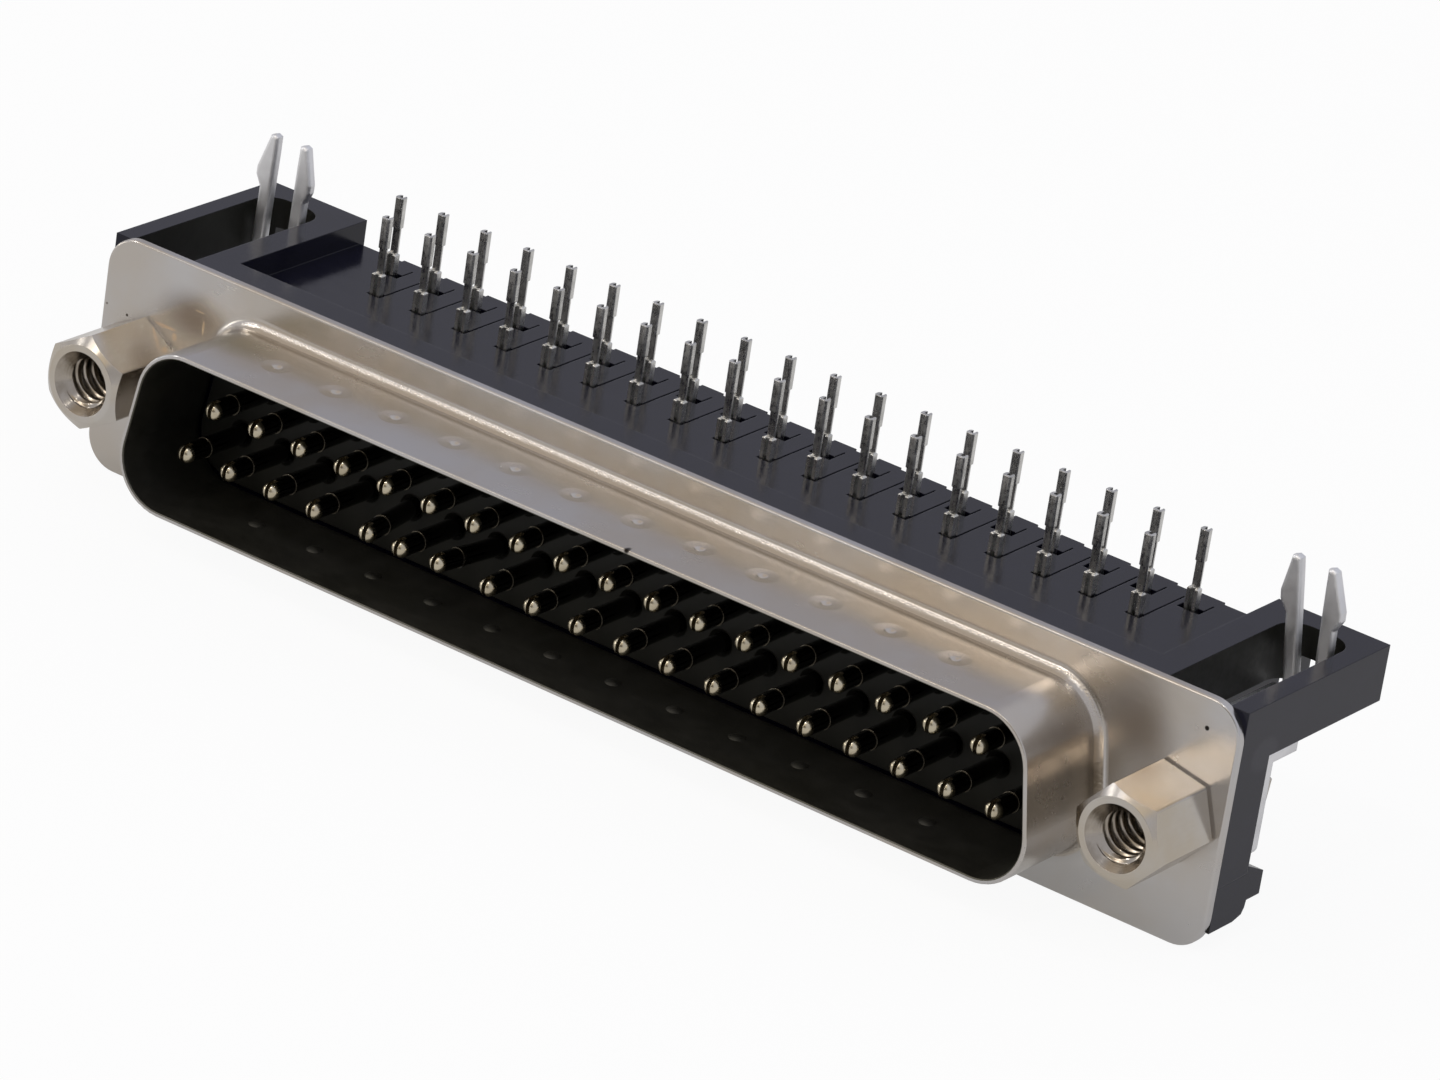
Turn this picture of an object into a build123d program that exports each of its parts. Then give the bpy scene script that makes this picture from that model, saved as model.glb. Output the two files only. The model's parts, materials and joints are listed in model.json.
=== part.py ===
from build123d import *
import math
import os

os.makedirs("parts", exist_ok=True)

# Right-angle board connector with two rows of pins, all sizes in millimetres.
# X runs along the connector, +Y goes back from the mating face, +Z goes towards the board.
# The origin is the centre of the flange's front face.

# Contact grid
pitch = 2.76
row_spacing = 2.84
board_row_count = 18
far_row_count = board_row_count + 1

# Steel shell
shroud_end_margin = 3.20
shroud_row_margin = 2.76
shroud_drop = 0.09
flank_angle = 10.0
shroud_wall = 0.26
shroud_corner = 2.50
shroud_reach = 6.00
root_radius = 0.62
rim_round = 0.09
flange_thickness = 0.45
flange_lip = 2.095
flange_drop = 0.25
flange_corner = 1.80
flange_round = 0.14
screw_margin = 3.71
flange_end = 2.91
screw_hole = 3.10
dimple_count = 12
dimple_pitch = 3.775
dimple_shift = -0.30
dimple_setback = 2.85
dimple_ball = 0.45
dimple_depth = 0.16
dish_ball = 7.00
dish_depth = 0.05

# Contacts
pin_diameter = 1.00
pin_reach = 4.75
pin_nose = 0.46
slit_width = 0.23
slit_depth = 0.70
ring_setback = 1.75
ring_length = 0.16
ring_height = 0.04
collar_diameter = 1.30
collar_length = 0.80
collar_start = 1.20
strip_width = 0.62
strip_thickness = 0.40
strip_bend = 0.60
tail_first_row = 8.08
tail_row_spacing = 2.84
tail_width = 0.45
tail_thickness = 0.18
tail_setback = 0.125
tail_reach = 2.95
shoulder_drop = 0.10
shoulder_round = 0.085
channel_width = 0.24
channel_floor = 0.02
stem_round = 0.06
fold_length = 1.65
fold_width = 0.52
fold_depth = 0.50
fold_slot = 0.20
fold_round = 0.17

# Two pins of the far row were knocked: position in the row, lean to the side and upwards
bent_pins = {4: (0.70, 0.00), 6: (-0.45, 0.08)}

# Plastic pieces
board_height = 6.05
plate_thickness = 2.65
split_height = -3.10
foot_height = -5.46
foot_bevel = 0.60
window_margin = 2.46
window_top = 4.20
recess_depth = 1.25
strip_depth = 2.20
cover_thickness = 1.50
hood_wall = 1.20
hood_inset = 3.45
hood_bottom = -3.25
hood_back_margin = 1.68
rib_width = 1.35
rib_depth = 0.22
arm_back_wall = 1.45
arm_extra = 0.35
bridge_thickness = 1.62
bridge_gap = 2.30
wing_start = 2.70
wing_width = 1.00
slot_width = 3.70
hook_reach = 1.50
hook_width = 2.20
hook_rise = 0.40
hook_slope = 0.66
hook_height = 1.50
hook_step = 0.38
tail_hole_clearance = 0.09
first_hole_margin = 0.12
second_hole_margin = 0.34
groove_width = 0.10
groove_depth = 0.10
groove_offsets = {"board": 0.38, "far": 0.60}
groove_end = 11.75
bore_chamfer = 0.20

# Board locks
lock_gauge = 0.50
lock_width = 5.80
lock_leg_bottom = -2.30
lock_corner = 0.50
lock_ledge = 2.55
tongue_width = 3.10
prong_plane = 10.10
prong_gauge = 0.58
prong_reach = 4.00
prong_outer = 1.50
prong_inner = 0.70
barb_outer = 1.84
barb_below_tip = 2.30
barb_shoulder = 0.75
tip_offset = 0.98
tip_round = 0.26
prong_round = 0.20

# Each prong's shift at its foot, its lean and how much narrower its barb is: the right pair is bent
prong_forms = {
    "left": {-1: (-0.05, 0.03, 0), 1: (-0.05, 0.03, 0.10)},
    "right": {-1: (0.72, -0.145, 0), 1: (0.10, -0.045, 0)},
}

# Jackscrews and their nuts
hex_flats = 4.50
hex_reach = 4.77
hex_face = 2.18
hex_chamfer = 0.26
hex_angles = {"left": 29.0, "right": 48.5}
bore_diameter = 2.26
bore_depth = 4.30
countersink = 3.25
stud_diameter = 2.70
stud_reach = 5.30
nut_flats = 4.30
nut_length = 1.40
nut_angles = {"left": 35.0, "right": 25.0}

# Clearances
plug_clearance = 0.10
pin_clearance = 0.02
collar_clearance = 0.10
window_clearance = 0.10
thread_clearance = 0.01
leg_hole_clearance = 0.15
ledge_clearance = 0.12

# Sizes that follow from the ones above
far_row_half = (far_row_count - 1) * pitch / 2
board_row_half = (board_row_count - 1) * pitch / 2
shroud_width = 2 * (far_row_half + shroud_end_margin)
shroud_height = row_spacing + 2 * shroud_row_margin
screw_x = shroud_width / 2 + screw_margin
flange_length = 2 * (screw_x + flange_end)
flange_height = shroud_height + 2 * flange_lip
dish_span = 2.5 * math.sqrt(2 * dish_ball * dish_depth)
window_half = far_row_half + window_margin
plate_back = flange_thickness + plate_thickness
hood_half = screw_x - hood_inset
cover_top = board_height - recess_depth
cover_bottom = cover_top - cover_thickness
tail_second_row = tail_first_row + tail_row_spacing
hood_back = tail_second_row + hood_back_margin
arm_back = hood_back + arm_extra
nut_corner = nut_flats / 2 / math.cos(math.radians(30))
arm_bottom = nut_corner + ledge_clearance + lock_gauge
shoulder_height = board_height - shoulder_drop
tail_top = board_height + tail_reach


def slab(profile, front, back):
    """A profile drawn in X and Z, made solid from the front depth to the back depth."""
    return extrude(Plane.XZ.offset(-front) * profile, amount=back - front, dir=(0, 1, 0))


def bar(profile, left, right):
    """A profile drawn in Y and Z, made solid from the left end to the right end."""
    return extrude(Plane.YZ.offset(left) * profile, amount=right - left, dir=(1, 0, 0))


def block(low, high):
    """An upright block between two opposite corners."""
    size = [high[i] - low[i] for i in range(3)]
    middle = [(high[i] + low[i]) / 2 for i in range(3)]
    return Pos(*middle) * Box(*size)


def rod(x, z, radius, front, back):
    """A round rod along Y."""
    return Pos(x, (front + back) / 2, z) * Rot(90, 0, 0) * Cylinder(radius, back - front)


def cone_along_depth(x, z, front_radius, back_radius, front, back):
    """A cone along Y, with its own radius at each end."""
    taper = Cone(back_radius, front_radius, back - front)
    return Pos(x, (front + back) / 2, z) * Rot(90, 0, 0) * taper


def d_outline(grow, corner):
    """The D outline, grown by a margin on every side, wide side away from the board."""
    half_height = shroud_height / 2 + grow
    slope = math.tan(math.radians(flank_angle))
    side = grow / math.cos(math.radians(flank_angle))
    wide = shroud_width / 2 + side + slope * grow
    narrow = wide - slope * 2 * half_height
    outline = Polygon(
        (-wide, -half_height),
        (wide, -half_height),
        (narrow, half_height),
        (-narrow, half_height),
        align=None,
    )
    return Pos(0, -shroud_drop) * fillet(outline.vertices(), corner)


def make_shell():
    """Drawn steel shell: flange, D-shaped shroud with a rounded root, holes and dimples."""
    plate = RectangleRounded(flange_length, flange_height + flange_drop, flange_corner)
    plate = Pos(0, -flange_drop / 2) * plate
    holes = [Pos(side * screw_x, 0) * Circle(screw_hole / 2) for side in (-1, 1)]
    flange = slab(plate, 0, flange_thickness)
    rim_edges = flange.edges().filter_by(Plane.XZ).group_by(Axis.Y)[0]
    flange = fillet(rim_edges, min(flange_round, flange_thickness / 3))
    for hole in holes:
        flange -= slab(hole, 0, flange_thickness)
    outside = d_outline(shroud_wall, shroud_corner + shroud_wall)
    shell = flange + slab(outside, -shroud_reach, flange_thickness)
    root = [
        edge
        for edge in shell.edges()
        if abs(edge.center().Y) < 1e-4
        and abs(edge.bounding_box().size.Y) < 1e-4
        and edge.bounding_box().max.X < shroud_width / 2 + shroud_wall * 2
        and edge.bounding_box().min.X > -shroud_width / 2 - shroud_wall * 2
        and abs(edge.center().Z) < shroud_height / 2 + shroud_drop + shroud_wall * 1.5
    ]
    shell = fillet(root, root_radius)
    shell -= slab(d_outline(0, shroud_corner), -shroud_reach, flange_thickness)
    mouth = shell.edges().group_by(Axis.Y)[0]
    shell = fillet(mouth, min(rim_round, shroud_wall / 3))
    back_edges = [
        edge
        for edge in shell.edges().group_by(Axis.Y)[-1]
        if edge.bounding_box().size.X < shroud_width + 1
        and abs(edge.center().X) < shroud_width / 2
        and abs(edge.center().Z) < shroud_height / 2 + shroud_drop + 0.1
    ]
    shell = fillet(back_edges, root_radius + shroud_wall)
    skin = shroud_height / 2 + shroud_wall
    first = dimple_shift - (dimple_count - 1) * dimple_pitch / 2
    for side in (-1, 1):
        for i in range(dimple_count):
            centre = first + i * dimple_pitch
            ball_height = side * (skin + dimple_ball - dimple_depth) - shroud_drop
            place = Pos(centre, -dimple_setback, ball_height)
            reach = dimple_ball + shroud_wall
            inside = sorted(
                side * (skin - depth) - shroud_drop for depth in (shroud_wall / 2, shroud_wall + 1)
            )
            cap = block(
                (centre - reach, -dimple_setback - reach, inside[0]),
                (centre + reach, -dimple_setback + reach, inside[1]),
            )
            shell += place * Sphere(reach) & cap
            shell -= place * Sphere(dimple_ball)
            dish_height = side * (skin + dish_ball - dish_depth) - shroud_drop
            dish = Pos(centre, -dimple_setback, dish_height)
            skin_slice = Pos(centre, -dimple_setback, side * skin - shroud_drop) * Box(
                dish_span, dish_span, 3 * dish_depth
            )
            shell -= dish * Sphere(dish_ball) & skin_slice
    return shell


def grid():
    """Every contact: its row name, its number in the row, its X and its pin height."""
    places = []
    for i in range(board_row_count):
        places.append(("board", i, i * pitch - board_row_half, row_spacing / 2))
    for i in range(far_row_count):
        places.append(("far", i, i * pitch - far_row_half, -row_spacing / 2))
    return places


def make_insulator():
    """Front moulding: D block in the shroud, body in the housing, foot bar with end hooks."""
    end = flange_length / 2
    body = slab(d_outline(-plug_clearance, shroud_corner - plug_clearance), 0, flange_thickness)
    body += block(
        (-window_half, flange_thickness, split_height), (window_half, plate_back, window_top)
    )
    foot = Polygon(
        (flange_thickness, split_height),
        (plate_back, split_height),
        (plate_back, foot_height + foot_bevel),
        (plate_back - foot_bevel, foot_height),
        (flange_thickness, foot_height),
        align=None,
    )
    body += bar(foot, -end, end)
    hook_top = split_height + hook_rise
    lip = hook_top - hook_slope
    hook = Polygon(
        (plate_back - 0.3, split_height - 0.02),
        (plate_back, split_height - 0.02),
        (plate_back, hook_top),
        (plate_back + hook_reach, lip),
        (plate_back + hook_reach, split_height - hook_height),
        (plate_back + hook_step, split_height - hook_height),
        (plate_back + hook_step * 0.8, foot_height + foot_bevel * 0.8),
        (plate_back + hook_step * 0.3, foot_height + foot_bevel * 0.3),
        (plate_back - foot_bevel, foot_height),
        align=None,
    )
    body += bar(hook, -end, hook_width - end)
    body += bar(hook, end - hook_width, end)
    for row, i, x, z in grid():
        radius = pin_diameter / 2 + pin_clearance
        body -= rod(x, z, radius, -0.1, plate_back + 0.1)
        body -= rod(x, z, collar_diameter / 2 + collar_clearance, collar_start, plate_back + 0.1)
        body -= cone_along_depth(x, z, radius + bore_chamfer, radius, -0.001, bore_chamfer)
    return body


def make_housing():
    """Rear moulding: front frame, arms with slots, hood with tail holes, open underneath."""
    end = flange_length / 2
    front = flange_thickness
    half = window_half + window_clearance
    body = block((-end, front, split_height), (end, plate_back, board_height))
    body -= block((-half, front, split_height), (half, plate_back, window_top + window_clearance))
    for side in (-1, 1):
        arm_x = sorted((side * hood_half, side * end))
        body += block((arm_x[0], front, arm_bottom), (arm_x[1], arm_back, board_height))
    body += block((-hood_half, plate_back, hood_bottom), (hood_half, hood_back, cover_top))
    wing = hood_half + wing_width
    body += block((-wing, plate_back + wing_start, hood_bottom), (wing, hood_back, arm_bottom))
    body -= block(
        (-hood_half + hood_wall, plate_back, hood_bottom),
        (hood_half - hood_wall, hood_back - hood_wall, cover_bottom),
    )
    body -= block(
        (-hood_half, front + strip_depth, cover_top),
        (hood_half, hood_back + 1, board_height),
    )
    for i in range(far_row_count):
        x = i * pitch - far_row_half
        body += block(
            (x - rib_width / 2, hood_back - 0.1, hood_bottom),
            (x + rib_width / 2, hood_back + rib_depth, cover_top),
        )
    for side in (-1, 1):
        slot_end = arm_back - arm_back_wall
        slot = Pos(side * screw_x, (front + slot_end) / 2, (arm_bottom + board_height) / 2) * Box(
            slot_width, slot_end - front, board_height - arm_bottom
        )
        corners = slot.edges().filter_by(Axis.Z).group_by(Axis.Y)[-1]
        body -= fillet(corners, slot_width / 2 * 0.7)
        body -= block(
            (side * screw_x - bridge_gap / 2, slot_end - slot_width / 2, arm_bottom),
            (side * screw_x + bridge_gap / 2, arm_back, board_height - bridge_thickness),
        )
        body -= rod(side * screw_x, 0, screw_hole / 2, front, plate_back)
    for row, i, x, z in grid():
        y = tail_first_row if row == "board" else tail_second_row
        margin = first_hole_margin if row == "board" else second_hole_margin
        half_hole = strip_width / 2 + margin
        hole_front = y - tail_setback - strip_thickness / 2 - tail_hole_clearance
        hole_back = hole_front + strip_thickness + 2 * tail_hole_clearance
        body -= block((x - half_hole, hole_front, cover_bottom), (x + half_hole, hole_back, cover_top))
        groove = x + groove_offsets[row]
        body -= block(
            (groove - groove_width / 2, hole_back, cover_top - groove_depth),
            (groove + groove_width / 2, max(groove_end, y + 1), cover_top),
        )
    return body


def make_pin(x, z, lean):
    """A round rolled pin: domed and slit at the tip, a fine ring, a collar behind the face."""
    side, rise = lean
    free = rod(0, 0, pin_diameter / 2, -pin_reach, 0)
    free = fillet(free.edges().group_by(Axis.Y)[0], pin_nose)
    slit_back = slit_depth - pin_reach
    free -= block((-slit_width / 2, -pin_reach - 0.1, -pin_diameter), (slit_width / 2, slit_back, pin_diameter))
    ring = ring_setback - pin_reach
    free += rod(0, 0, pin_diameter / 2 + ring_height, ring, ring + ring_length)
    if side or rise:
        free += Sphere(pin_diameter / 2)
        turn = math.degrees(math.atan2(side, pin_reach))
        lift = math.degrees(math.atan2(rise, pin_reach))
        free = Rot(-lift, 0, turn) * free
    free = Pos(x, 0, z) * free
    root = rod(x, z, pin_diameter / 2, 0, plate_back + 0.2)
    collar = rod(x, z, collar_diameter / 2, collar_start, collar_start + collar_length)
    return free + root + collar


def make_tail(x, z, tail_y):
    """A strip from the pin, round a bend and up as a channel to its shoulders, then a folded tail."""
    half = strip_thickness / 2
    strip_y = tail_y - tail_setback
    bend_outer = strip_bend + strip_thickness
    bend_y = strip_y + half - bend_outer
    bend_z = z - half + bend_outer
    run = block((x - strip_width / 2, plate_back - 0.6, z - half), (x + strip_width / 2, bend_y, z + half))
    quarter = Rot(0, 90, 0) * (
        Cylinder(bend_outer, strip_width) - Cylinder(strip_bend, strip_width)
    )
    corner = block((-strip_width, 0, -bend_outer), (strip_width, bend_outer, 0))
    bend = Pos(x, bend_y, bend_z) * (quarter & corner)
    rise = block(
        (x - strip_width / 2, strip_y - half, bend_z),
        (x + strip_width / 2, strip_y + half, shoulder_height),
    )
    rise -= block(
        (x - channel_width / 2, strip_y - half, cover_bottom),
        (x + channel_width / 2, strip_y + half - tail_thickness - channel_floor, shoulder_height),
    )
    rise = fillet(rise.edges().group_by(Axis.Z)[-1], shoulder_round)
    front = tail_y - fold_depth / 2
    fold_bottom = tail_top - fold_length
    stem = block(
        (x - tail_width / 2, strip_y + half - tail_thickness, shoulder_height - 0.2),
        (x + tail_width / 2, strip_y + half, fold_bottom + 0.1),
    )
    stem = fillet(stem.edges().filter_by(Axis.Z), stem_round)
    fold = block(
        (x - fold_width / 2, front, fold_bottom), (x + fold_width / 2, front + fold_depth, tail_top)
    )
    fold = fillet(fold.edges().filter_by(Axis.Z), fold_round)
    fold -= block(
        (x - fold_slot / 2, front + tail_thickness, fold_bottom),
        (x + fold_slot / 2, front + fold_depth, tail_top),
    )
    return run + bend + rise + stem + fold


def make_board_lock(forms):
    """Bent strip at X = 0: leg on the stud, ledge and tongue under the arm, two barbed prongs."""
    leg_back = plate_back + lock_gauge
    half = lock_width / 2
    top = arm_bottom
    leg = block((-half, plate_back, lock_leg_bottom), (half, leg_back, top))
    leg = fillet(leg.edges().filter_by(Axis.Y).group_by(Axis.Z)[0], lock_corner)
    leg -= rod(0, 0, stud_diameter / 2 + leg_hole_clearance, plate_back, leg_back)
    ledge = block((-half, plate_back, top - lock_gauge), (half, plate_back + lock_ledge, top))
    tongue_back = prong_plane + prong_gauge / 2
    tongue = block(
        (-tongue_width / 2, plate_back, top - lock_gauge), (tongue_width / 2, tongue_back, top)
    )
    tip = board_height + prong_reach
    barb = tip - barb_below_tip
    lock = leg + ledge + tongue
    for side in (-1, 1):
        shift, slope, trim = forms[side]
        wide = barb_outer - trim
        edge = [
            (prong_inner, top - lock_gauge / 2),
            (prong_outer, top - lock_gauge / 2),
            (prong_outer, barb - barb_shoulder),
            (wide, barb - barb_shoulder * 0.2),
            (wide, barb + barb_shoulder * 0.4),
            (tip_offset + tip_round, tip - tip_round * 0.4),
            (tip_offset, tip),
            (tip_offset - tip_round, tip - tip_round * 0.4),
            (prong_inner, tip - barb_below_tip * 0.45),
        ]
        leaning = [(side * x + shift + slope * (z - top), z) for x, z in edge]
        outline = Polygon(*leaning, align=None)
        prong = slab(outline, prong_plane - prong_gauge / 2, prong_plane + prong_gauge / 2)
        lock += fillet(prong.faces().filter_by(Axis.Y).edges(), prong_round)
    return lock


def make_jackscrew(turn):
    """Hex standoff at X = 0 with a countersunk bore, and a stud behind it."""
    corner = hex_flats / 2 / math.cos(math.radians(30))
    body = slab(Rot(0, 0, turn) * RegularPolygon(corner, 6), -hex_reach, 0)
    nose = hex_chamfer - hex_reach
    turned = cone_along_depth(0, 0, hex_face, corner + 0.01, -hex_reach, nose)
    body = body & (turned + rod(0, 0, corner + 0.01, nose, 0))
    body += rod(0, 0, stud_diameter / 2, -0.2, stud_reach)
    body -= rod(0, 0, bore_diameter / 2, -hex_reach, bore_depth - hex_reach)
    sink = (countersink - bore_diameter) / 2
    body -= cone_along_depth(0, 0, countersink / 2, bore_diameter / 2, -hex_reach, -hex_reach + sink)
    return body


def make_nut(turn):
    """Hex nut on the stud behind the board lock's leg, at X = 0."""
    start = plate_back + lock_gauge
    nut = slab(Rot(0, 0, turn) * RegularPolygon(nut_corner, 6), start, start + nut_length)
    return nut - rod(0, 0, stud_diameter / 2 + thread_clearance, start, start + nut_length)


def save(piece, name):
    """Writes one piece under its own name."""
    piece.label = name
    export_step(piece, "parts/" + name + ".step")


save(make_shell(), "front_shell")
save(make_insulator(), "front_insulator")
save(make_housing(), "rear_housing")

number = 0
for row, i, x, z in grid():
    number += 1
    lean = bent_pins.get(i, (0, 0)) if row == "far" else (0, 0)
    tail_y = tail_first_row if row == "board" else tail_second_row
    contact = make_pin(x, z, lean) + make_tail(x, z, tail_y)
    save(contact, "contact_%02d" % number)

for name, side in (("left", -1), ("right", 1)):
    save(Pos(side * screw_x, 0, 0) * make_board_lock(prong_forms[name]), "board_lock_" + name)
    save(Pos(side * screw_x, 0, 0) * make_jackscrew(hex_angles[name]), "jackscrew_" + name)
    save(Pos(side * screw_x, 0, 0) * make_nut(nut_angles[name]), "lock_nut_" + name)
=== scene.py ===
"""Looks of the D-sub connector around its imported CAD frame."""

import json
import logging
import math
from dataclasses import dataclass, field
from enum import Enum
from typing import Sequence

import bpy
import numpy as np
from mathutils import Matrix, Vector

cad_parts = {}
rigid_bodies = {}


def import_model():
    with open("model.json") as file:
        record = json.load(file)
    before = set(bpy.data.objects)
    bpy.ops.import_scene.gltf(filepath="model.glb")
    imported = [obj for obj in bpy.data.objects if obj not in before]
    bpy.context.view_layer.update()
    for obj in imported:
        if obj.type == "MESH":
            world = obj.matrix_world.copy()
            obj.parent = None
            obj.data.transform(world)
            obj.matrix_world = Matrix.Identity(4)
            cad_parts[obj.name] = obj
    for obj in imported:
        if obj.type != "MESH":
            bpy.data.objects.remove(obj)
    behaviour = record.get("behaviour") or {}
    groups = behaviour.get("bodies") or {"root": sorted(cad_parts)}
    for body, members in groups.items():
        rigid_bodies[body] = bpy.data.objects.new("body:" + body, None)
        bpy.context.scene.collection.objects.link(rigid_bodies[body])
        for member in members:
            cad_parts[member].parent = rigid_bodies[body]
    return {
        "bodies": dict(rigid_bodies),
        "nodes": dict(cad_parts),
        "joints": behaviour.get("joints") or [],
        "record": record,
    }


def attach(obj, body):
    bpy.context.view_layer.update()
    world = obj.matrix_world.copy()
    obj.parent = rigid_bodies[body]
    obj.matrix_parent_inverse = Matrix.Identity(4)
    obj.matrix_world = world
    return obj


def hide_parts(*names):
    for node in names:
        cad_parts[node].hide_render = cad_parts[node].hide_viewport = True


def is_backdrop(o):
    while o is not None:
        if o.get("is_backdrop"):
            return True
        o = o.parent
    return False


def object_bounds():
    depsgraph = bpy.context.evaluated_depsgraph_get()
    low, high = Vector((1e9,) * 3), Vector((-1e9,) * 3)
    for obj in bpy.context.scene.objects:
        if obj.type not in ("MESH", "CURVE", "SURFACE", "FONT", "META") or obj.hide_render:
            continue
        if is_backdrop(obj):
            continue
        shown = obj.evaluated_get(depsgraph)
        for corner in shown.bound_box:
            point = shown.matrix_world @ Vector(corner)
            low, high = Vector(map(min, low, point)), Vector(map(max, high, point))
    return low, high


log = logging.getLogger("d_sub_connector")

MM = 0.001

# The range that most of a noise lies in
NOISE_LOW, NOISE_HIGH = 0.3, 0.7

# Share of a mark's radius where its soft edge ends
MARK_END = 1.15

# Edges of the new pieces sharper than this, in degrees, stay sharp
SMOOTH_ANGLE = 24.0


def linear(hex_colour: str) -> tuple[float, float, float, float]:
    """Turns an sRGB hex colour into linear values.

    Args:
        hex_colour: Colour such as "#a0b0c0".

    Returns:
        Red, green, blue and alpha, linear.
    """
    parts = [int(hex_colour.lstrip("#")[i : i + 2], 16) / 255 for i in (0, 2, 4)]
    red, green, blue = [c / 12.92 if c <= 0.04045 else ((c + 0.055) / 1.055) ** 2.4 for c in parts]
    return red, green, blue, 1.0


class Zone(Enum):
    """Zones of a contact, by the number of their plating."""

    TIP = 0
    SHANK = 1
    TAIL = 2
    FOLD = 3
    RING = 4


@dataclass(frozen=True)
class Metal:
    """A bare or plated metal surface. Lengths are in millimetres.

    Attributes:
        name: Blender name of the material.
        colour: Reflection colour.
        tint: Second colour, where the plating has a warmer or duller cast.
        tint_size: Size of the patches of the second colour.
        roughness: Middle roughness.
        spread: How far the roughness varies.
        grain: Size of the fine grain along X, Y and Z.
        grain_depth: Height of the fine grain.
        edge: Radius that the edges show.
        coat: Share of a clear skin over it.
    """

    name: str
    colour: str
    tint: str
    tint_size: float
    roughness: float
    spread: float
    grain: tuple[float, float, float]
    grain_depth: float
    edge: float
    coat: float = 0.0


@dataclass(frozen=True)
class Plastic:
    """A moulded plastic surface. Lengths are in millimetres.

    Attributes:
        name: Blender name of the material.
        colour: Base colour.
        dust: Colour of the faint haze on it.
        roughness: Middle roughness.
        spread: How far the roughness varies.
        index: Index of refraction.
        grain: Size of the moulded texture.
        grain_depth: Height of the moulded texture.
        edge: Radius that the edges show.
    """

    name: str
    colour: str
    dust: str
    roughness: float
    spread: float
    index: float
    grain: float
    grain_depth: float
    edge: float


@dataclass(frozen=True)
class Mark:
    """A mark on a surface, round or drawn out along the axes, in millimetres.

    Attributes:
        centre: Its middle.
        radius: Its radius along each axis.
        colour: Its colour.
        strength: How much of the surface's colour it hides.
        core: Share of the radius inside which it has its full strength.
    """

    centre: tuple[float, float, float]
    radius: tuple[float, float, float]
    colour: str
    strength: float = 1.0
    core: float = 0.7


@dataclass(frozen=True)
class RootReflectionAndChatter:
    """Painted warm reflection towards the shroud's root, and the rough band of drawing along it. Lengths
    are in millimetres.

    Attributes:
        flange: Depths along Y between which the painted reflection fades out towards the flange.
        cast: Depths between which the painted warm reflection grows to its full share.
        cast_share: Share of the tint in the painted warm reflection.
        fray: How far a slow noise frays the painted reflection.
        faint: How much of the usual patches of tint is left.
        band_front: Depths between which the rough band starts.
        band_back: Depths between which the rough band ends.
        marks: Size of the band's marks along X, Y and Z.
        height: Height of the marks in parts of the grain's depth.
    """

    flange: tuple[float, float] = (-0.02, -0.12)
    # painted warm reflection of the flange on the shroud
    cast: tuple[float, float] = (-2.9, -0.2)
    cast_share: float = 0.5
    fray: float = 3.0
    faint: float = 0.7
    band_front: tuple[float, float] = (-0.42, -0.3)
    band_back: tuple[float, float] = (-0.04, -0.12)
    marks: tuple[float, float, float] = (0.13, 0.5, 0.13)
    height: float = 60.0


SHELL_STEEL = Metal(
    name="nickel_plated_drawn_steel",
    colour="#c6c4c3",
    tint="#bcae98",
    tint_size=9.0,
    roughness=0.25,
    spread=0.03,
    grain=(1.6, 0.6, 0.6),
    grain_depth=0.0004,
    edge=0.04,
)
# Painted shade: a darker copy of the shell's plating for the walls inside the mouth
SHADED_INNER_STEEL = Metal(
    name="nickel_plated_steel_with_painted_shade_in_the_mouth",
    colour="#68665f",
    tint="#575549",
    tint_size=6.0,
    roughness=0.5,
    spread=0.05,
    grain=(0.9, 0.3, 0.3),
    grain_depth=0.001,
    edge=0.02,
)
SCREW_NICKEL = Metal(
    name="nickel_plated_turned_brass",
    colour="#c6c1ba",
    tint="#bdb09a",
    tint_size=5.0,
    roughness=0.18,
    spread=0.04,
    grain=(0.12, 1.2, 0.12),
    grain_depth=0.0006,
    edge=0.03,
)
SCREW_BORE = Metal(
    name="nickel_plated_tapped_bore",
    colour="#b0a89d",
    tint="#8b8070",
    tint_size=1.1,
    roughness=0.2,
    spread=0.06,
    grain=(1.5, 0.06, 1.5),
    grain_depth=0.005,
    edge=0.02,
)
LOCK_TIN = Metal(
    name="tinned_stamped_bronze",
    colour="#ececed",
    tint="#dadadb",
    tint_size=2.0,
    roughness=0.46,
    spread=0.06,
    grain=(0.3, 0.3, 1.4),
    grain_depth=0.002,
    edge=0.12,
)
TAIL_TIN = Metal(
    name="bright_tinned_tail",
    colour="#dddcd8",
    tint="#b4b4b0",
    tint_size=0.8,
    roughness=0.28,
    spread=0.08,
    grain=(0.12, 0.12, 1.1),
    grain_depth=0.010,
    edge=0.06,
)
# Painted shade: a dark copy of the tail's tin for the walls of the fold's slot
SHADED_FOLD_TIN = Metal(
    name="tinned_tail_fold_with_painted_shade",
    colour="#3a3a39",
    tint="#2c2c2b",
    tint_size=0.8,
    roughness=0.4,
    spread=0.05,
    grain=(0.2, 0.2, 0.6),
    grain_depth=0.001,
    edge=0.02,
)
PIN_TIP = Metal(
    name="gold_flashed_pin_tip",
    colour="#cfc5ad",
    tint="#b0a48c",
    tint_size=0.9,
    roughness=0.22,
    spread=0.06,
    grain=(0.2, 0.4, 0.2),
    grain_depth=0.002,
    edge=0.05,
)
# Painted shade: the pin's shank in the mouth is darkened to near black; the clear coat keeps its glints
SHADED_PIN_SHANK = Metal(
    name="pin_shank_with_painted_shade",
    colour="#221e18",
    tint="#1a1712",
    tint_size=0.9,
    roughness=0.2,
    spread=0.04,
    grain=(0.2, 0.9, 0.2),
    grain_depth=0.001,
    edge=0.03,
    coat=0.9,
)
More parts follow.
